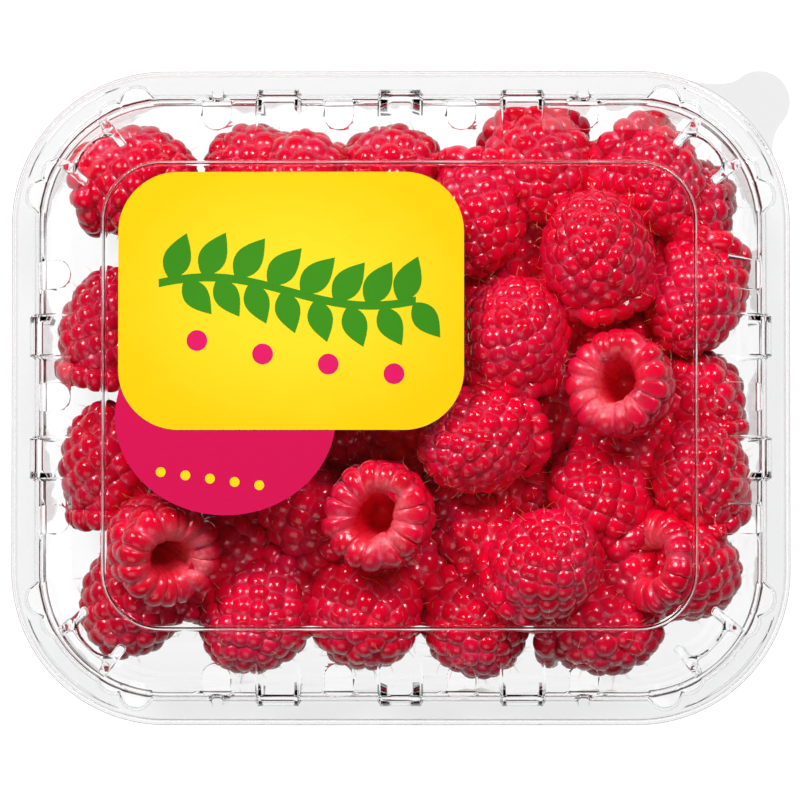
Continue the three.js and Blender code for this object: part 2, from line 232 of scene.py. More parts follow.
BRACKET_SHEET = clear_sheet("bracket_sheet", 0.0, 0.14, ior=1.2)
LID_SHEET = clear_sheet("lid_sheet", 0.0, 0.14)
TRAY_SHEET = clear_sheet("tray_sheet", 0.0, 0.17)
TAB_SHEET = clear_sheet("tab_sheet", 0.25, 0.3, rim_tint=TAB_TINT)


# %% [markdown]
# ## The way round a wall
# A station is one place on the way round: its foot on the rectangle of corner centres, the direction
# outward, and how much of a lug, a post, a notch or a corner step stands there. Stations lie close
# together only where the wall turns sharply, so that the mesh stays light.

# %% Stations
STRAIGHT_STEP, CORNER_STATIONS = 2.6, 64
LUG_RAMP = 0.6
# angle from the corner's diagonal, how far it stands out, half its width
POSTS = ((0.56, 2.4, 2.9), (0.345, 1.0, 2.2))
POST_REACH = 24.0
NOTCH_WIDTH = 1.9
STEP_TURN, STEP_RAMP = 0.45, 0.03


def smooth(x):
    x = min(max(x, 0.0), 1.0)
    return x * x * (3 - 2 * x)


def lug_share(shift, lugs):
    nearest = min(abs(shift - centre) for centre in lugs)
    return smooth((LUG_WIDTH / 2 + LUG_RAMP / 2 - nearest) / LUG_RAMP)


def notch_share(shift, side):
    if side % 2 == 0:
        return 0.0
    off = min(abs(shift - LONG_SIDE_VENTS[0]), abs(shift - LONG_SIDE_VENTS[-1]))
    return math.sqrt(max(0.0, 1 - (off / (NOTCH_WIDTH / 2)) ** 2))


def post_share(turn):
    """How far the two posts on each side of a corner's diagonal stand out, in millimetres."""
    out = 0.0
    for angle, stands, half in POSTS:
        off = abs(abs(turn) - angle) * POST_REACH
        out = max(out, stands * math.sqrt(max(0.0, 1 - (off / half) ** 2)))
    return out


def step_share(turn):
    """Between the posts of a corner the flange is raised a little: 1 there, 0 elsewhere."""
    return smooth((STEP_TURN + STEP_RAMP - abs(turn)) / STEP_RAMP)


def stations():
    rows = []
    for side in range(4):
        half, depth = (CORNER_Y, CORNER_X) if side % 2 == 0 else (CORNER_X, CORNER_Y)
        lugs = SHORT_SIDE_LUGS if side % 2 == 0 else LONG_SIDE_LUGS
        turn = side * math.pi / 2
        out = Vector((math.cos(turn), math.sin(turn)))
        along = Vector((-out.y, out.x))
        shifts = list(np.linspace(-half, half, int(half * 2 / STRAIGHT_STEP), endpoint=False))
        for centre in lugs:
            for edge in (centre - LUG_WIDTH / 2, centre + LUG_WIDTH / 2):
                shifts += [edge + LUG_RAMP * k / 6 for k in (-3, -2, -1, 0, 1, 2, 3)]
        if side % 2:
            for centre in (LONG_SIDE_VENTS[0], LONG_SIDE_VENTS[-1]):
                shifts += [centre + NOTCH_WIDTH / 2 * math.sin(k * math.pi / 12) for k in range(-6, 7)]
        for shift in sorted(set(round(s, 3) for s in shifts)):
            rows.append((out * depth + along * shift, out, lug_share(shift, lugs), 0.0,
                         notch_share(shift, side), 0.0))
        for k in range(CORNER_STATIONS):
            swing = (k + 0.5) / CORNER_STATIONS * math.pi / 2
            facing = Vector((math.cos(turn + swing), math.sin(turn + swing)))
            turned = swing - math.pi / 4
            rows.append((out * depth + along * half, facing, 0.0, post_share(turned), 0.0,
                         step_share(turned)))
    return rows


STATIONS = stations()
print("stations round a wall", len(STATIONS))


# %% [markdown]
# ## A sheet from a profile
# The profile is rounded at its bends, because a heated sheet never folds sharply. The first ring is a
# closed loop of edges. Each next level is that loop extruded and moved, and the last loop is filled with
# the flat panel. The sheet gets its thickness at the end. The steps that later pieces share are here too.

# %% Sheet from a profile
BEND_LIMIT = 0.45
OPENING_REACH = 6.0


def quadratic(start, bend, end, t):
    return start * (1 - t) ** 2 + bend * 2 * t * (1 - t) + end * t * t


def rounded(profile, cut, steps=4):
    """The profile with each bend replaced by a short curve that starts and ends at most cut before it.
    What a row leaves out at its end is 0."""
    points = [np.array([*row, *[0.0] * (6 - len(row))]) for row in profile]
    path = [points[0]]
    for before, bend, after in zip(points, points[1:], points[2:]):
        length_in = np.linalg.norm((bend - before)[:2])
        length_out = np.linalg.norm((after - bend)[:2])
        start = bend + (before - bend) * min(cut, length_in * BEND_LIMIT) / length_in
        end = bend + (after - bend) * min(cut, length_out * BEND_LIMIT) / length_out
        path += [quadratic(start, bend, end, k / steps) for k in range(steps + 1)]
    return [*path, points[-1]]


def refined(path, step):
    """The path with extra levels, so that no two are farther apart than step."""
    fine = [path[0]]
    for level in path[1:]:
        last = fine[-1]
        count = max(1, math.ceil(np.linalg.norm((level - last)[:2]) / step))
        fine += [last + (level - last) * k / count for k in range(1, count + 1)]
    return fine


def level_point(station, level):
    foot, out, lug, post, notch, step = station
    reach, height, lug_out, post_out, notch_out, step_up = level
    reach = reach + lug * lug_out + post * post_out - notch * notch_out
    return Vector((foot.x + out.x * reach, foot.y + out.y * reach, height + step * step_up)) * MM


def cut_opening(bm, outline):
    """Takes the part of a sheet over a convex outline away, by one straight cut for each of its sides."""
    middle = sum(outline, Vector((0, 0))) / len(outline)
    faces = [f for f in bm.faces if f.normal.z > 0.1
             and (f.calc_center_median().xy - middle * MM).length < OPENING_REACH * MM]
    for i, corner in enumerate(outline):
        along = outline[(i + 1) % len(outline)] - corner
        out = Vector((along.y, -along.x, 0)).normalized()
        place = Vector((corner.x, corner.y, 0)) * MM
        parts = {v for f in faces for v in f.verts} | {e for f in faces for e in f.edges} | set(faces)
        found = bmesh.ops.bisect_plane(bm, geom=list(parts), plane_co=place, plane_no=out, dist=1e-8)["geom"]
        faces = [f for f in found if isinstance(f, bmesh.types.BMFace)
                 and (f.calc_center_median() - place).dot(out) < 0]
    bmesh.ops.delete(bm, geom=faces, context="FACES")


def next_loop(bm, edges):
    """Extrudes a closed loop of edges. Gives its new vertices and its new edges."""
    grown = bmesh.ops.extrude_edge_only(bm, edges=edges)["geom"]
    verts = {v for v in grown if isinstance(v, bmesh.types.BMVert)}
    return verts, [e for e in grown if isinstance(e, bmesh.types.BMEdge) and verts.issuperset(e.verts)]


def sheet(name, path, material, panel_first=False, openings=()):
    bm = bmesh.new()
    ring = [bm.verts.new(level_point(s, path[0])) for s in STATIONS]
    edges = [bm.edges.new((ring[i], ring[(i + 1) % len(ring)])) for i in range(len(ring))]
    if panel_first:
        bmesh.ops.contextual_create(bm, geom=edges)
    for level in path[1:]:
        new_verts, edges = next_loop(bm, edges)
        ring = [next(e.other_vert(v) for e in v.link_edges if e.other_vert(v) in new_verts) for v in ring]
        for vert, station in zip(ring, STATIONS):
            vert.co = level_point(station, level)
    if not panel_first:
        bmesh.ops.contextual_create(bm, geom=edges)
    bmesh.ops.recalc_face_normals(bm, faces=bm.faces)
    panel = max(bm.faces, key=lambda f: f.calc_area())
    if (panel.normal.z > 0) == panel_first:
        bmesh.ops.reverse_faces(bm, faces=bm.faces)
    for outline in openings:
        cut_opening(bm, outline)
    return thickened(finished(name, bm, material))


def linked(name, data):
    """A new object in the scene, round a mesh, a lamp or a camera."""
    made = bpy.data.objects.new(name, data)
    SCENE.collection.objects.link(made)
    return made


def placed(name, mesh, material, smooth_faces=True):
    mesh.materials.append(material)
    mesh.shade_smooth() if smooth_faces else mesh.shade_flat()
    made = linked(name, mesh)
    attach(made, "root")
    return made


def finished(name, bm, material, smooth_faces=True):
    mesh = bpy.data.meshes.new(name)
    bm.to_mesh(mesh)
    bm.free()
    return placed(name, mesh, material, smooth_faces)


def thickened(piece, even=True):
    """Gives a single sheet its thickness, inward, as part of its mesh."""
    solid = piece.modifiers.new("thickness", "SOLIDIFY")
    solid.thickness = SHEET * MM
    solid.offset = -1.0
    solid.use_even_offset = even
    graph = bpy.context.evaluated_depsgraph_get()
    mesh = bpy.data.meshes.new_from_object(piece.evaluated_get(graph))
    piece.modifiers.clear()
    piece.data = mesh
    return piece


def as_arrays(bm):
    """The vertices and the triangles of a bmesh, which is freed."""
    bmesh.ops.triangulate(bm, faces=bm.faces[:])
    bm.verts.index_update()
    verts = np.array([v.co[:] for v in bm.verts])
    faces = np.array([[v.index for v in f.verts] for f in bm.faces])
    bm.free()
    return verts, faces


def arc(cx, cy, across, down, angles):
    """Points round a centre, one for each angle."""
    return [(cx + across * math.cos(a), cy + down * math.sin(a)) for a in angles]


def raised(outlines, bottom, thickness):
    """Flat outlines in millimetres, given a thickness."""
    bm = bmesh.new()
    for outline in outlines:
        face = bm.faces.new([bm.verts.new((x * MM, y * MM, bottom * MM)) for x, y in outline])
        grown = bmesh.ops.extrude_face_region(bm, geom=[face])["geom"]
        bmesh.ops.translate(bm, verts=[v for v in grown if isinstance(v, bmesh.types.BMVert)],
                            vec=(0, 0, thickness * MM))
    bmesh.ops.recalc_face_normals(bm, faces=bm.faces)
    return bm


# %% [markdown]
# ## Lid
# From the rim inward: a raised bead, a flat flange, a short steep wall with the lugs, posts and notches,
# a narrow ledge, the long slope with the vents, and the top panel, which is sunk a little inside a fine
# raised line. The vents are cut out of the slope while it is still a single sheet, so that each cut edge
# gets the sheet's own thickness.

# %% Lid
# reach and height, then how far a lug, a post, a notch and a corner step move that level
LID_SLOPE = [
    (22.3, FLANGE_Z + 3.0, 0.9, 0.7),
    (20.6, 27.6, 0.75),
    (16.8, 31.3, 0.3),
    (PANEL_REACH + 0.45, TOP_Z - 0.35),
]
LID_PROFILE = [
    (28.0, FLANGE_Z),
    (27.95, FLANGE_Z + 0.6),
    (27.7, FLANGE_Z + 1.0),
    (27.3, FLANGE_Z + 1.0),
    (27.0, FLANGE_Z + 0.5),
    (26.8, FLANGE_Z + 0.5, 0, 0, 0, 0.35),
    (26.25, FLANGE_Z + 0.5, 0, 0.2, 0, 0.35),
    (26.05, FLANGE_Z + 0.5, 0, 0.22),
    (24.0, FLANGE_Z + 0.5, 0.9, 1.0, 0.9),
    (23.4, FLANGE_Z + 2.6, 0.9, 1.0, 0.9),
    *LID_SLOPE,
    (PANEL_REACH + 0.2, TOP_Z),
    (PANEL_REACH - 0.25, TOP_Z),
    (PANEL_REACH - 0.5, PANEL_Z),
    (PANEL_REACH - 1.5, PANEL_Z),
]
VENT_WIDTH, VENT_FROM, VENT_TO, LONG_VENT_FROM, VENT_CORNER = 5.2, 17.0, 22.9, 14.2, 0.7


def vent_outline(side, shift):
    """The vent's outline, from its square outer end round to its round inner end."""
    start = LONG_VENT_FROM if side == 0 else VENT_FROM
    half = VENT_WIDTH / 2
    inset = half - VENT_CORNER
    points = []
    for way, turns in ((-1, (-90, -60, -30, 0)), (1, (0, 30, 60, 90))):
        points += arc(VENT_TO - VENT_CORNER, way * inset, VENT_CORNER, VENT_CORNER, np.radians(turns))
    points += arc(start + half, 0.0, half, half, np.radians(range(90, 271, 12)))
    depth = CORNER_X if side % 2 == 0 else CORNER_Y
    turned = Matrix.Rotation(side * math.pi / 2, 2)
    return [turned @ Vector((depth + reach, shift + along)) for reach, along in points]


VENTS = [vent_outline(side, shift) for side in range(4)
         for shift in (SHORT_SIDE_VENTS if side % 2 == 0 else LONG_SIDE_VENTS)]
lid = sheet("lid_shell", refined(rounded(LID_PROFILE, 0.35, steps=3), 1.2), LID_SHEET, openings=VENTS)
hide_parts("lid")
print("lid", len(lid.data.polygons), "faces,", len(VENTS), "vents")

# %% [markdown]
# ### Corner brackets
# On each corner of the slope stands a hollow rib with its two ends turned inward. It keeps a stacked
# punnet from sliding. It is a band along a bent line, raised straight up, with its top edges rounded.

# %% Corner brackets
CORNERS = ((1, 1), (-1, 1), (-1, -1), (1, -1))
# reach and turn from the corner's diagonal, half of the outline
BRACKET_HALF = ((19.9, 0.0), (19.95, 0.1), (19.9, 0.19), (20.3, 0.205), (22.2, 0.21), (22.2, 0.29),
                (18.5, 0.325), (15.9, 0.36), (15.45, 0.345), (15.3, 0.3), (15.5, 0.262), (16.0, 0.245),
                (17.7, 0.232), (18.4, 0.21), (18.8, 0.17), (19.1, 0.11), (19.2, 0.05), (19.2, 0.0))
BRACKET_TOP = ((15.0, 33.5), (19.6, 32.6), (22.2, 27.4))
BRACKET_FLOOR = [row[:2] for row in reversed(LID_SLOPE)]
BRACKET_BEVEL, OVER_SLOPE = 0.22, 0.02


def bracket(bm, corner):
    rows = [*BRACKET_HALF, *[(reach, -turn) for reach, turn in BRACKET_HALF[-2:0:-1]]]
    low, high = [], []
    for reach, turn in rows:
        angle = math.pi / 4 + turn
        point = Vector((corner[0] * (CORNER_X + reach * math.cos(angle)),
                        corner[1] * (CORNER_Y + reach * math.sin(angle))))
        floor = np.interp(reach, *zip(*BRACKET_FLOOR))
        top = np.interp(reach, *zip(*BRACKET_TOP))
        low.append(bm.verts.new((point.x * MM, point.y * MM, (floor + OVER_SLOPE) * MM)))
        high.append(bm.verts.new((point.x * MM, point.y * MM, top * MM)))
    for i in range(len(rows)):
        j = (i + 1) % len(rows)
        bm.faces.new((low[i], low[j], high[j], high[i]))
    return bm.faces.new(high)


bracket_bm = bmesh.new()
tops = [bracket(bracket_bm, corner) for corner in CORNERS]
bmesh.ops.recalc_face_normals(bracket_bm, faces=bracket_bm.faces)
bmesh.ops.bevel(bracket_bm, geom=list({e for f in tops for e in f.edges}), offset=BRACKET_BEVEL * MM,
                segments=3, profile=0.5, affect="EDGES", material=-1)
bmesh.ops.triangulate(bracket_bm, faces=[f for f in bracket_bm.faces if len(f.verts) > 4])
brackets = thickened(finished("lid_brackets", bracket_bm, BRACKET_SHEET), even=False)
print("brackets", len(brackets.data.polygons), "faces")

# %% [markdown]
# ## Tray
# The tray stands on a flat ring round a raised middle. Its wall leans out to the flange under the lid.
# The same lugs show in its upper part, a little wider and softer than in the lid.

# %% Tray
TRAY_TOP = FLANGE_Z - 0.3
TRAY_PROFILE = [
    (11.0, 0.8),
    (13.6, 0.8),
    (14.4, 0.0),
    (17.2, 0.0),
    (19.3, 1.8, 0.3),
    (22.5, 18.6, 0.6),
    (23.1, 19.0, 0.7),
    (23.4, TRAY_TOP - SHEET, 0.7),
    (27.8, TRAY_TOP - SHEET),
    (28.15, TRAY_TOP - SHEET - 0.3),
]
tray = sheet("tray_shell", refined(rounded(TRAY_PROFILE, 0.5), 2.0), TRAY_SHEET, panel_first=True)
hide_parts("tray")
print("tray", len(tray.data.polygons), "faces")

# %% [markdown]
# ### Lifting tab
# At one corner a round tab stands out of the tray's flange. Its outline runs round the lobe, along a bent
# fillet to the flange, back under the flange's edge and along the other fillet.

# %% Lifting tab
TAB_X, TAB_Y, TAB_RADIUS = 66.2, 54.6, 5.7
LOBE_FROM, LOBE_TO = 2.1, -0.65
TAB_ROOT_REACH = 28.25
# where a fillet bends and where the lower and the upper one meet the flange
LOWER_BEND, LOWER_ROOT = Vector((68.4, 48.7)), Vector((68.7, 44.9))
UPPER_BEND, UPPER_ROOT = Vector((60.8, 56.8)), Vector((53.0, 58.85))


def tab_outline():
    def part_of_ring(cx, cy, radius, start, end, steps):
        angles = [start + (end - start) * k / steps for k in range(steps + 1)]
        return [Vector(p) for p in arc(cx, cy, radius, radius, angles)]

    points = part_of_ring(TAB_X, TAB_Y, TAB_RADIUS, LOBE_FROM, LOBE_TO, 30)
    points += [quadratic(points[-1], LOWER_BEND, LOWER_ROOT, t / 8) for t in range(1, 8)]
    arc_from, arc_to = [math.atan2(root.y - CORNER_Y, root.x - CORNER_X)
                        for root in (LOWER_ROOT, UPPER_ROOT)]
    points += part_of_ring(CORNER_X, CORNER_Y, TAB_ROOT_REACH, arc_from, arc_to, 24)
    points += [quadratic(points[-1], UPPER_BEND, points[0], t / 10) for t in range(1, 10)]
    return points


tab_bm = raised([tab_outline()], TRAY_TOP - SHEET, SHEET)
tab = finished("tray_tab", tab_bm, TAB_SHEET, smooth_faces=False)

# %% [markdown]
# ## Where the berries lie
# Every berry has its middle, its width, its length from the open end to the tip, the way its tip points
# in plan and how far it rises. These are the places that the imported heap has. The last rows are low
# berries that close the gaps.

# %% Berries in the heap
BERRIES = [
    # x, y, z, width, length, yaw, rise
    (-49, 41.2, 12.5, 20.5, 24, 8, 8),
    (-27.6, 42.3, 11.5, 19.5, 21, 150, 12),
    (-17.6, 41.8, 18.5, 17.5, 18, 95, -30),
    (-1.4, 42.4, 12, 19.5, 21, 25, 5),
    (25.7, 42.3, 15.5, 21.5, 22, -80, 38),
    (35, 39, 11, 18.5, 20, 200, 0),
    (47, 40, 15.5, 20, 22.5, -55, 22),
    (54.2, 36.5, 11, 17.5, 19.5, 60, -20),
    (14, 33, 17.5, 19.5, 24, -100, 18),
    (36.1, 27.8, 23.5, 21.6, 24, 105, 38),
    (29.5, 17.8, 11, 18.5, 20, 130, 10),
    (54.3, 18.4, 16, 19.8, 24, -108, 22),
    (20.9, 12.5, 23.2, 22, 21.5, 80, 30),
    (41.5, 2.1, 24, 20, 20.5, -15, -76),
    (55, 0.8, 12, 18, 20, 100, 0),
    (27.5, -2, 11, 18.5, 20, 40, 0),
    (13.4, -7.8, 23.5, 21.5, 23.5, 205, 32),
    (45.2, -7, 11, 19, 21, 60, 10),
    (55.2, -13.4, 17, 19.5, 22.5, 105, 32),
    (36.2, -17.8, 15.5, 19.5, 22, 130, 25),
    (14.7, -24.8, 11.3, 19.5, 21, 110, 20),
    (27.6, -30.2, 23.5, 21.5, 22, 40, 38),
    (53.4, -31.8, 15, 20, 22.5, -12, -38),
    (41, -32.4, 11, 18.5, 20, 170, 0),
    (38, -42, 12.5, 19.5, 24, -12, 12),
    (14.2, -42.2, 12.8, 20.5, 21.5, -70, 25),
    (-3.2, -21.5, 24, 20.5, 20.5, 20, -80),
    (-6.5, -39.6, 14, 22.5, 24, -60, 35),
    (-18, -19.8, 15, 19.5, 21.5, 125, 12),
    (-27.3, -40.6, 13, 21.5, 24, 230, 20),
    (-31, -27.2, 11, 19, 21, 20, 0),
    (-45.6, -27, 22, 20.3, 20.5, 145, -58),
    (-50.4, -38.2, 11.8, 20, 22.5, 240, 10),
    (-54.4, -11.2, 12.5, 19.5, 24, 96, 15),
    (-54.2, 13.9, 12.5, 19.5, 23.5, 82, 10),
    (-1.5, -6, 14, 19.5, 21, 200, 20),
    (-1.5, 24.5, 14, 19, 21, 250, 10),
    (-20.5, 25, 15, 19.5, 21, 100, 15),
    (-38, 27, 14, 19, 21, 300, 10),
    (-37, 7, 15, 19, 21, 20, 10),
    (-18.5, 6.5, 20, 19.5, 21, 330, 20),
    (-36.5, -10, 18, 19, 21, 200, 10),
    (23, 24.5, 9.6, 16.5, 18, 70, 0),
    (41.5, 11.5, 9.8, 17, 18, 160, 0),
    *[(x, y, 9.6, 16, 17, yaw, 0) for x, y, yaw in (
        (4, -31, 20), (-17, -32, 75), (-10.2, -8.5, 30), (8.2, -17.5, 120), (24.8, -16.7, 10),
        (35, -6, 80), (12.5, 20.5, 150))],
    (38, 19, 9.6, 15, 16, 40, 0),
    (24.5, 32, 9.4, 14, 15, 60, 0),
    (47.2, 28, 9.4, 14, 15, 110, 0),
    (48, 9, 9.2, 13, 14, 20, 0),
    (-38.5, -33.5, 9.4, 14, 15, 60, 0),
]
SHOULDER = 0.36


def berry_radius(share, width):
    """Half the width of a berry at a share of its length, from the open end to the tip."""
    if share < SHOULDER:
        return width / 2 * (0.8 + 0.2 * math.sin(math.pi / 2 * share / SHOULDER))
    return width / 2 * math.sqrt(max(0.0, 1 - ((share - SHOULDER) / (1 - SHOULDER)) ** 2.3))


def berry_axes(yaw, rise):
    """Columns across, across and along the berry, the last one from open end to tip."""
    yaw, rise = math.radians(yaw), math.radians(rise)
    along = np.array((math.cos(rise) * math.cos(yaw), math.cos(rise) * math.sin(yaw), math.sin(rise)))
    level = np.array((-math.sin(yaw), math.cos(yaw), 0.0))
    return np.column_stack((level, np.cross(along, level), along))


print(len(BERRIES), "berries")

# %% [markdown]
# ## One drupelet
# A raspberry is a cap of about a hundred small juicy beads, the drupelets. One bead is a ball with its
# hidden lower part cut off. It is made once, and its copies are laid out as arrays, which is far quicker
# than adding them one by one.

# %% Unit drupelet
BEAD_CUT = -0.15
DEEP_Z = 11.4


def unit_bead(rounds):
    bm = bmesh.new()
    bmesh.ops.create_icosphere(bm, subdivisions=rounds, radius=1.0)
    bmesh.ops.bisect_plane(bm, geom=bm.verts[:] + bm.edges[:] + bm.faces[:], plane_co=(0, 0, BEAD_CUT),
                           plane_no=(0, 0, 1), clear_inner=True)
    return as_arrays(bm)


BEAD, DEEP_BEAD = unit_bead(3), unit_bead(2)
print("bead", len(BEAD[1]), "faces, deep in the heap", len(DEEP_BEAD[1]))


# %% [markdown]
# ## Laying the drupelets
# They sit on one spiral from the open end to the tip, each a golden angle round from the last, and closer
# together near the tip. Every bead is a little off in place and size, as on the fruit. Beads are kept
# inside the clear walls, where the real ones are pressed flat against them.

# %% Layout of the drupelets
BEAD_STEP, BEAD_INSET = 3.2, 0.68
STEP_RUNS, STEP_SHARES = (0.0, 0.35, 1.0), (1.1, 1.06, 0.86)
BEAD_SIZES = (0.74, 0.84)
HEX_PACKING = 0.866
GOLDEN_ANGLE = math.pi * (3 - math.sqrt(5))
SLOPE_SPAN = 0.4
WALL_HEIGHTS = (1.3, 1.9, 22.2, 22.9, 25.6, 26.0, 31.0, 35.0)
WALL_REACHES = (16.8, 18.9, 22.9, 23.2, 22.6, 21.6, 16.2, 11.6)
FLOOR_Z, CEILING_Z = 1.35, PANEL_Z - SHEET - 0.1
STEEP_BELOW, STEEP_LEAN, SLOPE_LEAN, CLEARANCE = 25, 1.03, 1.4, 0.1


def kept_inside(points, radius):
    """Moves ball centres until the balls clear tray and lid."""
    points = points.copy()
    points[:, 2] = np.clip(points[:, 2], FLOOR_Z + radius, CEILING_Z - radius)
    foot = np.clip(points[:, :2], (-CORNER_X, -CORNER_Y), (CORNER_X, CORNER_Y))
    away = points[:, :2] - foot
    reach = np.linalg.norm(away, axis=1)
    lean = np.where(points[:, 2] > STEEP_BELOW, SLOPE_LEAN, STEEP_LEAN)
    most = np.interp(points[:, 2], WALL_HEIGHTS, WALL_REACHES) - radius * lean - CLEARANCE
    scale = np.where(reach > most, most / np.maximum(reach, 1e-6), 1.0)
    points[:, :2] = foot + away * scale[:, None]
    return points


def profile_of(width, length, inset):
    """Points across the berry's profile, moved in by inset, and the length run along them."""
    shares = 0.05 + 0.95 * (1 - (1 - np.linspace(0.0, 1.0, 200)) ** 1.6)
    radii = np.array([max(berry_radius(s, width) - inset, 0.0) for s in shares])
    heights = shares * (length - 2 * inset) + inset - length / 2
    run = np.concatenate(([0.0], np.cumsum(np.hypot(np.diff(radii), np.diff(heights)))))
    return radii, heights, run


def lay_beads(width, length, rng):
    """Centres, radii and outward directions of a berry's beads, in the berry's own axes."""
    step = BEAD_STEP * rng.uniform(0.92, 1.08)
    inset = step * BEAD_INSET
    radii, heights, run = profile_of(width, length, inset)
    local_step = step * np.interp(run / run[-1], STEP_RUNS, STEP_SHARES)
    crowd = radii / local_step ** 2
    filled = np.concatenate(([0.0], np.cumsum((crowd[1:] + crowd[:-1]) / 2 * np.diff(run))))
    count = int(2 * math.pi * filled[-1] / HEX_PACKING)
    at = np.interp((np.arange(count) + 0.5) / count * filled[-1], filled, run)
    at = np.clip(at + rng.normal(0, 0.25, count), run[0], run[-1])
    radius, height = np.interp(at, run, radii), np.interp(at, run, heights)
    ends = np.maximum(at - SLOPE_SPAN, 0), at + SLOPE_SPAN
    near, far = [(np.interp(end, run, radii), np.interp(end, run, heights)) for end in ends]
    slope = np.arctan2(near[0] - far[0], far[1] - near[1])
    angle = rng.uniform(0, 6.28) + np.arange(count) * GOLDEN_ANGLE + rng.normal(0, 0.2, count) / (radius + 1)
    normals = np.column_stack((np.cos(angle) * np.cos(slope), np.sin(angle) * np.cos(slope), np.sin(slope)))
    sizes = np.interp(at, run, local_step) * rng.uniform(*BEAD_SIZES, count)
    sunk = rng.normal(0, 0.09, count) - (sizes - inset)
    centres = np.column_stack((radius * np.cos(angle), radius * np.sin(angle), height))
    return centres + normals * sunk[:, None], sizes, normals


def frames_for(normals):
    """A turned set of axes for each direction, with that direction as the third axis."""
    helper = np.where(np.abs(normals[:, 2:3]) < 0.9, (0, 0, 1.0), (1.0, 0, 0))
    first = np.cross(helper, normals)
    first /= np.linalg.norm(first, axis=1, keepdims=True)
    second = np.cross(normals, first)
    return np.stack((first, second, normals), axis=2)


# %% [markdown]
# ## From beads to a mesh
# What lies inside a neighbouring bead is dropped, so the mesh has only what can be seen. How near a
# point is to a neighbour is kept with it as an attribute named crease, because the fine down of the fruit
# gathers there and looks pale; the skin also paints a pale rim there, which is painted sheen. A second
# attribute named tone gives each bead its own shade.

# %% Mesh of one berry's beads
CREASE_WIDTH, HIDDEN_DEPTH = 0.4, -0.26
SQUASH = ((0.94, 1.06), (0.94, 1.06), (0.90, 1.04))


def bead_mesh(centres, sizes, normals, rng, bead):
    bead_verts, bead_faces = bead
    axes = frames_for(normals)
    squash = np.column_stack([rng.uniform(*span, len(sizes)) for span in SQUASH])
    axes = axes * (squash * sizes[:, None])[:, None, :]
    verts = np.einsum("nij,pj->npi", axes, bead_verts) + centres[:, None, :]
    count, per = verts.shape[:2]
    flat = verts.reshape(-1, 3)
    gaps = np.linalg.norm(flat[:, None, :] - centres[None, :, :], axis=2) - sizes[None, :]
    gaps[np.arange(count * per), np.repeat(np.arange(count), per)] = np.inf
    nearest = gaps.min(axis=1)
    faces = (bead_faces[None, :, :] + (np.arange(count) * per)[:, None, None]).reshape(-1, 3)
    faces = faces[(nearest[faces] > HIDDEN_DEPTH).any(axis=1)]
    tone = np.repeat(rng.uniform(0, 1, count), per)
    crease = np.clip(1 - nearest / CREASE_WIDTH, 0, 1)
    return flat, faces, crease, tone


# %% [markdown]
# ## The open end
# Picked berries leave their core on the plant, so each has a hollow. Round its mouth the beads are drawn
# out into broad ribs that fade as they run over the lip and down inside. The lip is one grid: round the
# mouth in one direction, over the lip and into the hollow in the other, with the ribs raised on it. The
# mouth is a little oval, and one side of it is downier, where the core tore off.

# %% Lip and hollow
RIB_STEPS = 8
LIP_START, INNER_START = -0.85, 0.12


def lip_mesh(width, length, rng):
    """Verts, faces, crease, tone and paleness of a berry's open end, in the berry's own axes."""
    ribs = round(width * rng.uniform(0.70, 0.78))
    mouth = width * rng.uniform(0.165, 0.19)
    outer = width / 2 * 0.94
    tube = (outer - mouth) / 2
    middle = mouth + tube
    around = ribs * RIB_STEPS
    path = []
    for angle in np.linspace(LIP_START, math.pi, 19):
        swell = smooth((angle - LIP_START) / 0.7) * (1 - 0.7 * smooth((angle - 1.3) / 1.3))
        inward = smooth((angle - 0.9) / 1.4)
        path.append((middle + tube * math.cos(angle), tube - tube * 0.85 * math.sin(angle), math.cos(angle),
                     -math.sin(angle), swell, inward))
    for share in np.linspace(INNER_START, 1, 7):
        narrow = mouth * (1 - 0.45 * share ** 2)
        path.append((narrow, tube + (length * 0.6 - tube) * share, -1.0, 0.0, 0.3 - 0.2 * share,
                     0.85 * (1 - share) ** 2))
    spread = rng.normal(0, 0.16, ribs)
    height = rng.uniform(0.75, 1.25, ribs)
    tones = rng.uniform(0, 1, ribs)
    oval_turn, downy_turn = rng.uniform(0, 6.28, 2)
    ragged = rng.normal(0, 0.22, ribs)
    verts, crease, tone, pale = [], [], [], []
    for radius, down, out_x, out_z, swell, paleness in path:
        bulge = swell * 0.30 * 2 * math.pi * max(radius, middle * 0.8) / ribs
        for k in range(around):
            which = k // RIB_STEPS
            across = (k % RIB_STEPS) / RIB_STEPS
            ridge = math.sqrt(1 - (2 * across - 1) ** 2)
            lift = bulge * (ridge * height[which] - 0.5)
            angle = (which + across + spread[which] * ridge) / ribs * 2 * math.pi
            oval = 1 + (0.03 + 0.1 * paleness) * math.cos(2 * (angle - oval_turn))
            torn = paleness * (ragged[which] * (1 - across) + ragged[(which + 1) % ribs] * across)
            reach = (radius + out_x * lift) * oval + torn
            verts.append((reach * math.cos(angle), reach * math.sin(angle),
                          down + out_z * lift - length / 2))
            crease.append((1 - ridge) * min(1.0, swell * 2))
            tone.append(tones[which])
            pale.append(paleness * (0.2 + 0.8 * smooth(0.5 + 0.8 * math.cos(angle - downy_turn))))
    faces = []
    for row in range(len(path) - 1):
        for k in range(around):
            a, b = row * around + k, row * around + (k + 1) % around
            faces += [(a, b, b + around), (a, b + around, a + around)]
    bottom, last = len(verts), (len(path) - 1) * around
    for values, value in ((verts, (0, 0, length * 0.1 + 0.3)), (crease, 0.0), (tone, 0.5), (pale, 0.0)):
        values.append(value)
    faces += [(last + k, last + (k + 1) % around, bottom) for k in range(around)]
    return np.array(verts), np.array(faces)[:, ::-1], np.array(crease), np.array(tone), np.array(pale)


# %% [markdown]
# ## Hairs
# A dry golden hair, what is left of the flower's style, still stands on many beads. One bent hair is made
# once as a thin three-sided tube, and its copies are laid out like the beads.

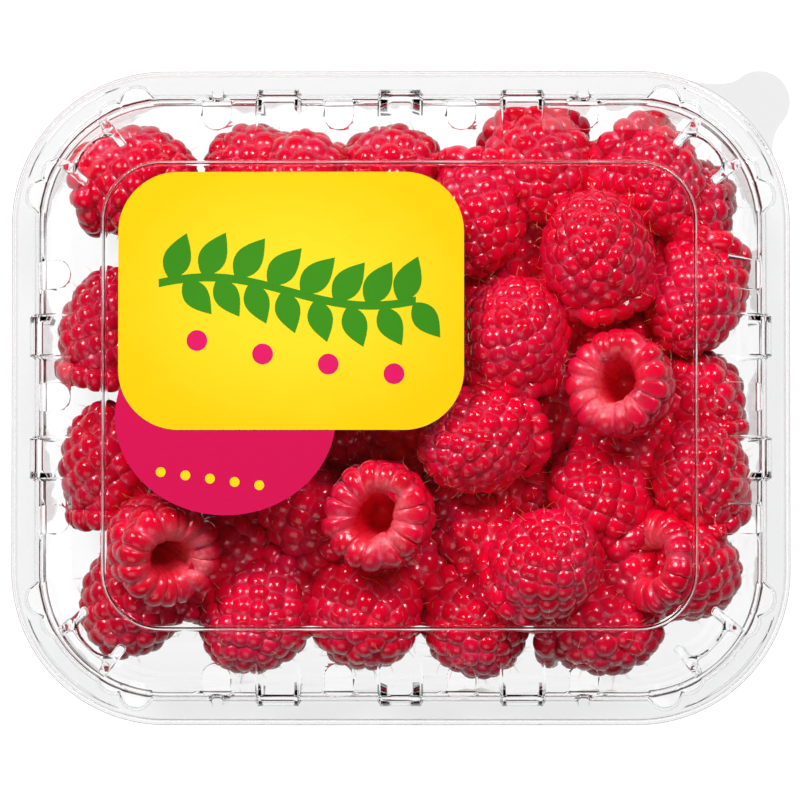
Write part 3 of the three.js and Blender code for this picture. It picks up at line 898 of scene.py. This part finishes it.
# %% Unit hair
HAIR_LEVELS, HAIR_TAPER = 5, 0.6
HAIR_SHARE, HAIR_RADIUS, HAIR_ROOT = 0.6, 0.05, 0.15
HAIR_LENGTHS, HAIR_BENDS, HAIR_LEAN = (1.0, 2.4), (-0.9, 0.9), 0.75


def unit_hair():
    bm = bmesh.new()
    bmesh.ops.create_circle(bm, segments=3, radius=1.0)
    edges = bm.edges[:]
    for k in range(1, HAIR_LEVELS + 1):
        verts, edges = next_loop(bm, edges)
        for v in verts:
            v.co.z = k / HAIR_LEVELS
    verts, faces = as_arrays(bm)
    verts[:, :2] *= 1 - HAIR_TAPER * verts[:, 2:]
    return verts, faces


HAIR_VERTS, HAIR_FACES = unit_hair()


def hair_mesh(centres, sizes, normals, rng):
    chosen = np.flatnonzero(rng.random(len(sizes)) < HAIR_SHARE)
    count = len(chosen)
    lean = normals[chosen] + rng.normal(0, HAIR_LEAN, (count, 3))
    lean /= np.linalg.norm(lean, axis=1, keepdims=True)
    axes = frames_for(lean)
    length = rng.uniform(*HAIR_LENGTHS, count)
    bend = rng.uniform(*HAIR_BENDS, count)
    rise = HAIR_VERTS[:, 2]
    x = HAIR_VERTS[None, :, 0] * HAIR_RADIUS + bend[:, None] * rise[None, :] ** 2
    y = np.repeat(HAIR_VERTS[None, :, 1] * HAIR_RADIUS, count, axis=0)
    z = rise[None, :] * length[:, None] - HAIR_ROOT
    local = np.stack((x, y, z), axis=2)
    roots = centres[chosen] + normals[chosen] * sizes[chosen][:, None]
    verts = np.einsum("nij,npj->npi", axes, local) + roots[:, None, :]
    per = len(HAIR_VERTS)
    faces = (HAIR_FACES[None] + (np.arange(count) * per)[:, None, None]).reshape(-1, 3)
    return verts.reshape(-1, 3), faces


# %% [markdown]
# ## Skin of the fruit
# The juice makes the beads deep crimson and lets light wander inside them, so the material scatters under
# its surface. Beads differ a little in shade. In the creases and on the lip the fine down turns the colour
# to a dusty pink; in the creases that pink is partly painted sheen, the pale rim of lit down. Magenta
# patches are painted sheen of the down. Low in the heap the skin is painted dark maroon: painted shade,
# where hardly any light comes.

# %% Skin of the fruit
DEEP_RED = colour(214, 0, 36)
BRIGHT_RED = colour(248, 2, 54)
# Pale pink of the down in the creases; partly painted sheen, the pale rim of lit down.
DOWN_AND_SHEEN_PINK = colour(255, 84, 120)
LIP_PINK = colour(255, 140, 146)
# Painted sheen: magenta patches that stand for the sheen of the fine down.
PAINTED_SHEEN_MAGENTA = colour(204, 22, 92)
# Painted shade: the dark maroon that the skin is painted low in the heap.
PAINTED_SHADE_MAROON = colour(96, 0, 14)
STRAW = colour(236, 132, 100), colour(250, 196, 130)
DEEP_FROM, DEEP_TO, PAINTED_SHADE_SHARE = 18.0, 9.0, 0.75


def fruit_skin():
    paint = Paint("raspberry_skin")
    crease = paint.attribute("crease")
    tone = paint.attribute("tone")
    pale = paint.attribute("pale")
    shade = (tone * 0.7 + paint.noise(3.5, 1.0) * 0.6 - 0.15).clamped()
    juice = paint.blend(shade, DEEP_RED, BRIGHT_RED)
    down = paint.noise(0.7, 3.0)
    # Painted sheen: noise patches of the down's magenta sheen, a little rougher where they lie.
    sheen_patches = ((paint.noise(9.0, 1.0) - 0.42) * 3.0).clamped() * down
    with_painted_sheen = paint.blend((sheen_patches * 0.7).clamped(), juice, PAINTED_SHEEN_MAGENTA)
    speckle = ((down - 0.40) * 4.0).clamped()
    patch = ((paint.noise(5.0, 1.0) - 0.40) * 3.0).clamped()
    lip = paint.blend((pale * (speckle * 0.6 + 0.25) * (patch * 0.6 + 0.4)).clamped(), with_painted_sheen, LIP_PINK)
    # Creases painted pale pink: the down itself, and partly painted sheen.
    skin = paint.blend((crease ** 3.0 * 0.65).clamped(), lip, DOWN_AND_SHEEN_PINK)
    # Painted shade: lower in the heap the skin is painted darker, towards maroon.
    depth = ((DEEP_FROM - paint.height()) / (DEEP_FROM - DEEP_TO)).clamped()
    shaded = paint.blend(depth * PAINTED_SHADE_SHARE, skin, PAINTED_SHADE_MAROON)
    grain = paint.noise(0.5, 1.0)
    return paint.principled({
        "Base Color": shaded,
        "Roughness": (crease * 0.15 + sheen_patches * 0.25 + pale * 0.35 + 0.09).clamped(),
        "IOR": 1.45,
        "Subsurface Weight": 0.4,
        "Subsurface Radius": (1.0, 0.1, 0.12),
        "Subsurface Scale": 2.0 * MM,
        "Normal": paint.bump(grain, 0.08, 0.1),
    })


def hair_paint():
    paint = Paint("raspberry_hair")
    return paint.principled({"Base Color": paint.blend(paint.noise(4.0), *STRAW), "Roughness": 0.45})


FRUIT_SKIN = fruit_skin()
HAIR_STRAW = hair_paint()


# %% [markdown]
# ## The whole heap
# Each berry is worked out in its own axes, turned and moved to its place, and joined with its neighbours
# to a few large meshes.

# %% The whole heap
def array_object(name, verts, faces, attributes, material):
    mesh = bpy.data.meshes.new(name)
    mesh.vertices.add(len(verts))
    mesh.vertices.foreach_set("co", (verts * MM).astype(np.float32).ravel())
    mesh.loops.add(len(faces) * 3)
    mesh.loops.foreach_set("vertex_index", faces.astype(np.int32).ravel())
    mesh.polygons.add(len(faces))
    mesh.polygons.foreach_set("loop_start", np.arange(0, len(faces) * 3, 3, dtype=np.int32))
    for key, values in attributes.items():
        mesh.attributes.new(key, "FLOAT", "POINT").data.foreach_set("value", values.astype(np.float32))
    mesh.update()
    return placed(name, mesh, material)


def joined(parts):
    """The vertices and the faces of several meshes as those of one."""
    starts = np.cumsum([0] + [len(verts) for verts, _ in parts[:-1]])
    return np.vstack([v for v, _ in parts]), np.vstack([f + start for (_, f), start in zip(parts, starts)])


def trimmed(verts, faces, *attributes):
    """Only the vertices that some face uses."""
    used, index = np.unique(faces, return_inverse=True)
    return verts[used], index.reshape(faces.shape), *[a[used] for a in attributes]


def whole_berry(berry, rng):
    x, y, z, width, length, yaw, rise = berry
    axes = berry_axes(yaw, rise)
    middle = np.array((x, y, z), dtype=float)
    centres, sizes, normals = lay_beads(width, length, rng)
    centres = centres * np.array((rng.uniform(0.97, 1.03), rng.uniform(0.97, 1.03), 1.0))
    centres = kept_inside(centres @ axes.T + middle, sizes)
    normals = normals @ axes.T
    bead = BEAD if z > DEEP_Z else DEEP_BEAD
    verts, faces, crease, tone = bead_mesh(centres, sizes, normals, rng, bead)
    verts, faces, crease, tone = trimmed(verts, faces, crease, tone)
    lip_verts, lip_faces, lip_crease, lip_tone, pale = lip_mesh(width, length, rng)
    lip_verts = kept_inside(lip_verts @ axes.T + middle, 0.1)
    hairs = hair_mesh(centres, sizes, normals, rng)
    marks = ((crease, lip_crease), (tone, lip_tone), (np.zeros(len(verts)), pale))
    return (*joined([(verts, faces), (lip_verts, lip_faces)]), *[np.concatenate(pair) for pair in marks],
            (kept_inside(hairs[0], 0.0), hairs[1]))


GROUP, SEED = 9, 7
rng = np.random.default_rng(SEED)
made_berries = [whole_berry(berry, rng) for berry in BERRIES]
heap_pieces = []
for first in range(0, len(made_berries), GROUP):
    group = made_berries[first:first + GROUP]
    marks = {key: np.concatenate([b[i] for b in group])
             for key, i in (("crease", 2), ("tone", 3), ("pale", 4))}
    heap_pieces.append(array_object(f"raspberries_{first // GROUP + 1}", *joined([b[:2] for b in group]),
                                    marks, FRUIT_SKIN))
hairs = array_object("raspberry_hairs", *joined([b[5] for b in made_berries]), {}, HAIR_STRAW)
for piece in heap_pieces + [hairs]:
    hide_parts("raspberries")
print("heap", [len(p.data.polygons) for p in heap_pieces], "hairs", len(hairs.data.polygons))

# %% [markdown]
# ## Label
# The label is one piece of coated paper with a large yellow field and a round crimson one that comes out
# under its corner. The print is a sprig with leaves and berries, in the label's own green and crimson.

# %% Paper and print
LABEL_BOTTOM, PAPER = PANEL_Z, 0.1
FIELD_SHEET = 0.12
FIELD = {"left": -51.4, "right": 11.8, "bottom": -6.3, "top": 40.9, "radius": 11.0}
PATCH = {"cx": -31.8, "cy": -3.9, "across": 20.2, "down": 18.0}
FIELD_X = (FIELD["left"] + FIELD["right"]) / 2
FIELD_Y = (FIELD["bottom"] + FIELD["top"]) / 2


def paper(name, edge_colour, lit_middle_colour, spread_mm):
    paint = Paint(name)
    centred = paint.node("Mapping", inputs={
        "Vector": paint.position(),
        "Location": (-FIELD_X / spread_mm[0], -FIELD_Y / spread_mm[1], 0),
        "Scale": (1 / (spread_mm[0] * MM), 1 / (spread_mm[1] * MM), 0.0),
    })
    round_fade = paint.wire(paint.node("TexGradient", {"gradient_type": "SPHERICAL"},
                                       {"Vector": paint.wire(centred)}), "Fac")
    # Painted light: paper and ink are painted lighter towards the middle of the field, a pool of light;
    # noise breaks up its edge.
    painted_light_pool = (round_fade * 1.6 + paint.noise(7, 3.0) * 0.3 - 0.22).clamped()
    fibre = paint.noise(0.9, 4.0, 0.6)
    return paint.principled({
        "Base Color": paint.blend(painted_light_pool, edge_colour, lit_middle_colour),
        "Roughness": (fibre * 0.2 + 0.42).clamped(),
        "Specular IOR Level": 0.12,
        "Normal": paint.bump(fibre, 0.35, 0.08),
    })


# The second colour of each is its painted lit middle.
YELLOW_PAPER = paper("yellow_paper", colour(248, 204, 0), colour(248, 222, 36), (36, 27))
CRIMSON_PAPER = paper("crimson_paper", colour(212, 10, 80), colour(217, 14, 85), (30, 24))
GREEN_INK = paper("green_ink", colour(52, 132, 18), colour(60, 142, 22), (40, 30))
CRIMSON_INK = paper("crimson_ink", colour(222, 20, 96), colour(226, 24, 100), (40, 30))
YELLOW_INK = paper("yellow_ink", colour(255, 214, 20), colour(255, 222, 40), (40, 30))


# %% Flat shapes
def slab(name, outlines, bottom, thickness, material):
    """A flat piece of the label."""
    made = finished(name, raised(outlines, bottom, thickness), material, smooth_faces=False)
    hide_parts("label")


def rounded_rectangle(left, right, bottom, top, radius, steps=20):
    points = []
    for cx, cy, start in ((right - radius, bottom + radius, -90), (right - radius, top - radius, 0),
                          (left + radius, top - radius, 90), (left + radius, bottom + radius, 180)):
        angles = [math.radians(start + 90 * k / steps) for k in range(steps + 1)]
        points += arc(cx, cy, radius, radius, angles)
    return points


def ellipse(cx, cy, across, down, steps=96):
    return arc(cx, cy, across, down, [2 * math.pi * k / steps for k in range(steps)])


slab("label_field", [rounded_rectangle(**FIELD)], LABEL_BOTTOM + PAPER, FIELD_SHEET, YELLOW_PAPER)
slab("label_patch", [ellipse(**PATCH)], LABEL_BOTTOM, PAPER, CRIMSON_PAPER)

# %% [markdown]
# ### The printed sprig
# A wavy stem crosses the field. Leaves stand on it in pairs, and round berries hang from it. Each is a
# flat outline from one formula, a few hundredths of a millimetre thick, as a layer of ink is.

# %% The printed sprig
INK_BOTTOM = LABEL_BOTTOM + PAPER + FIELD_SHEET
INK = 0.015
STEM_HALF = 0.75
PAIR_SHIFT, LEAF_TURN = 2.6, 1.05
SPOT_RADIUS, SEED_RADIUS = 1.9, 0.9


def stem_y(x):
    return 19.0 + 2.6 * math.sin((x + 50) / 9.5)


def leaf(x, y, length, width, turn, steps=18):
    """A pointed leaf from its root at x, y."""
    points = []
    for side in (1, -1):
        for k in range(steps):
            t = k / steps if side > 0 else 1 - k / steps
            across = side * width / 2 * math.sin(math.pi * t ** 0.8)
            along = t * length
            points.append((x + along * math.cos(turn) - across * math.sin(turn),
                           y + along * math.sin(turn) + across * math.cos(turn)))
    return points


stem_xs = np.linspace(-44, 3, 60)
stem = [(x, stem_y(x) + STEM_HALF) for x in stem_xs] + [(x, stem_y(x) - STEM_HALF) for x in stem_xs[::-1]]
leaves = []
for k, x in enumerate(np.linspace(-42, 0, 8)):
    lean = 0.25 * math.cos((x + 50) / 9.5)
    leaves.append(leaf(x, stem_y(x) + 0.3, 9.0, 5.0, LEAF_TURN + lean))
    leaves.append(leaf(x + PAIR_SHIFT, stem_y(x + PAIR_SHIFT) - 0.3, 8.0, 4.6, lean - LEAF_TURN))
spots = [ellipse(x, stem_y(x) - 11.5 - (k % 2) * 1.2, SPOT_RADIUS, SPOT_RADIUS, 40)
         for k, x in enumerate((-37, -25, -13, -1))]
seeds = [ellipse(-43.6 + 4.5 * k, -14.0 - 0.6 * k, SEED_RADIUS, SEED_RADIUS, 32) for k in range(5)]
slab("print_stem", [stem], INK_BOTTOM, INK, GREEN_INK)
slab("print_leaves", leaves, INK_BOTTOM + INK, INK, GREEN_INK)
slab("print_berries", spots, INK_BOTTOM, INK, CRIMSON_INK)
slab("print_seeds", seeds, LABEL_BOTTOM + PAPER, INK, YELLOW_INK)

# %% [markdown]
# ## Studio
# The punnet stands on a white light table and is seen from straight above. The table's own light shines
# through the clear walls, so that no shadow dulls them. It is kept off the fruit, whose gaps stay dark.
# Two soft lamps behind the punnet, on the left and on the right, give each bead its pair of small
# highlights. A broad weak one in front opens the shadows. The sky is dim, so that the lid's slope mirrors
# no haze onto the fruit.

# %% Floor
FLOOR_HALF, FLOOR_DROP, FLOOR_GLOW = 3.0, 0.0002, 0.94


def floor_paint():
    paint = Paint("floor_paper")
    return paint.principled({
        "Base Color": paint.blend(paint.noise(60), colour(112, 112, 113), colour(116, 116, 116)),
        "Roughness": 0.8,
        "Emission Color": (1.0, 1.0, 1.0, 1.0),
        "Emission Strength": FLOOR_GLOW,
    })


floor_bm = bmesh.new()
bmesh.ops.create_grid(floor_bm, x_segments=2, y_segments=2, size=FLOOR_HALF)
floor_mesh = bpy.data.meshes.new("floor")
floor_bm.to_mesh(floor_mesh)
floor_bm.free()
floor_mesh.materials.append(floor_paint())
floor_object = linked("floor", floor_mesh)
floor_object.location.z = -FLOOR_DROP
floor_object.visible_diffuse = False


# %% Lamps and sky
def lamp(name, place, size, power):
    data = bpy.data.lights.new(name, "AREA")
    data.shape = "RECTANGLE"
    data.size, data.size_y = size
    data.energy = power
    made = linked(name, data)
    made.location = place
    made.rotation_euler = (-Vector(place)).to_track_quat("-Z", "Y").to_euler()


lamp("key_left", (-0.50, 0.58, 0.80), (0.3, 0.3), 8.6)
lamp("key_right", (0.42, 0.60, 0.84), (0.3, 0.3), 6.9)
lamp("fill", (-0.2, -0.8, 0.9), (0.9, 0.7), 3.3)

SKY_STRENGTH = 0.25
SKY_STOPS = ((0.0, (0.1, 0.102, 0.104, 1)), (0.95, (0.09, 0.09, 0.093, 1)))
world = bpy.data.worlds.new("studio_sky")
world.use_nodes = True
SCENE.world = world
sky = world.node_tree
place = sky.nodes.new("ShaderNodeTexCoord")
split = sky.nodes.new("ShaderNodeSeparateXYZ")
ramp = sky.nodes.new("ShaderNodeValToRGB")
for stop, (position, tint) in zip(ramp.color_ramp.elements, SKY_STOPS):
    stop.position = position
    stop.color = tint
sky.links.new(place.outputs["Generated"], split.inputs[0])
sky.links.new(split.outputs["Z"], ramp.inputs["Fac"])
sky.links.new(ramp.outputs["Color"], sky.nodes["Background"].inputs["Color"])
sky.nodes["Background"].inputs["Strength"].default_value = SKY_STRENGTH

# %% Camera and colours
FRAME_MM = 147.6
CAMERA_HEIGHT, CAMERA_END = 1.2, 20.0
TILT_X, TILT_Y = 0.9, -1.8
AIM = (-0.09, -0.46, FLANGE_Z)
camera_data = bpy.data.cameras.new("camera")
camera_data.sensor_width = 36.0
camera_data.lens = camera_data.sensor_width * CAMERA_HEIGHT / (FRAME_MM * MM)
camera_data.clip_end = CAMERA_END
camera = linked("camera", camera_data)
back = Vector((math.tan(math.radians(TILT_X)), math.tan(math.radians(TILT_Y)), 1.0)).normalized()
camera.location = Vector(AIM) * MM + back * CAMERA_HEIGHT
camera.rotation_euler = (math.radians(-TILT_Y), math.radians(TILT_X), 0.0)
SCENE.camera = camera
SCENE.view_settings.view_transform = "Standard"
